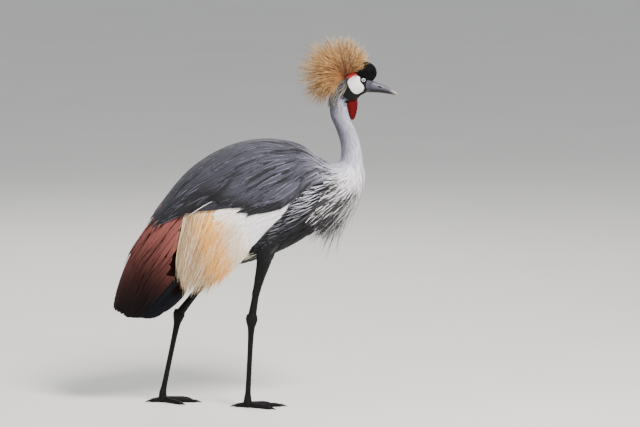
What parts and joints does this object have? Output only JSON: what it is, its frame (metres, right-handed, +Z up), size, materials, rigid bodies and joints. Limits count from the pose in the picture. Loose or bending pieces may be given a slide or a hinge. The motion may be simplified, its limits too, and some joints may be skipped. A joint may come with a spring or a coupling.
{
  "type": "grey crowned crane",
  "caption": "Life-size still model of a grey crowned crane walking, with a fan crest, folded wings and long legs.",
  "frame": {"origin": "floor level under the middle of the bird's outline as seen from above", "axes": "+X the way the bird faces, +Y its left side, +Z up"},
  "size_m": [0.6801, 0.2184, 0.8936],
  "materials": {
    "black_plumage": "matte",
    "slate_plumage": "matte",
    "pale_grey_plumage": "matte",
    "body_plumage": "matte",
    "white_coverts": "matte",
    "golden_plumes": "matte",
    "chestnut_plumage": "matte",
    "crest_straw": "matte",
    "bare_white_skin": "satin",
    "bare_red_skin": "satin",
    "leg_skin": "satin",
    "bill_horn": "satin",
    "claw_horn": "satin",
    "eye": "gloss"
  },
  "bodies": {
    "root": {"bill_lower": "bill_horn", "bill_upper": "bill_horn", "cap": "black_plumage", "cheek_left": "bare_white_skin", "cheek_right": "bare_white_skin", "claw_left_hind": "claw_horn", "claw_left_inner": "claw_horn", "claw_left_middle": "claw_horn", "claw_left_outer": "claw_horn", "claw_right_hind": "claw_horn", "claw_right_inner": "claw_horn", "claw_right_middle": "claw_horn", "claw_right_outer": "claw_horn", "crest": "crest_straw", "eye_left": "eye", "eye_right": "eye", "foot_left": "leg_skin", "foot_right": "leg_skin", "head": "black_plumage", "mantle": "slate_plumage", "neck_lower": "pale_grey_plumage", "neck_upper": "pale_grey_plumage", "shank_left": "leg_skin", "shank_right": "leg_skin", "tail": "black_plumage", "tarsus_left": "leg_skin", "tarsus_right": "leg_skin", "temple_patch_left": "bare_red_skin", "temple_patch_right": "bare_red_skin", "thigh_left": "body_plumage", "thigh_right": "body_plumage", "throat_wattle": "bare_red_skin", "torso": "body_plumage", "wing_left_coverts": "white_coverts", "wing_left_plumes": "golden_plumes", "wing_left_primaries": "black_plumage", "wing_left_secondaries": "chestnut_plumage", "wing_right_coverts": "white_coverts", "wing_right_plumes": "golden_plumes", "wing_right_primaries": "black_plumage", "wing_right_secondaries": "chestnut_plumage"}
  },
  "joints": []
}
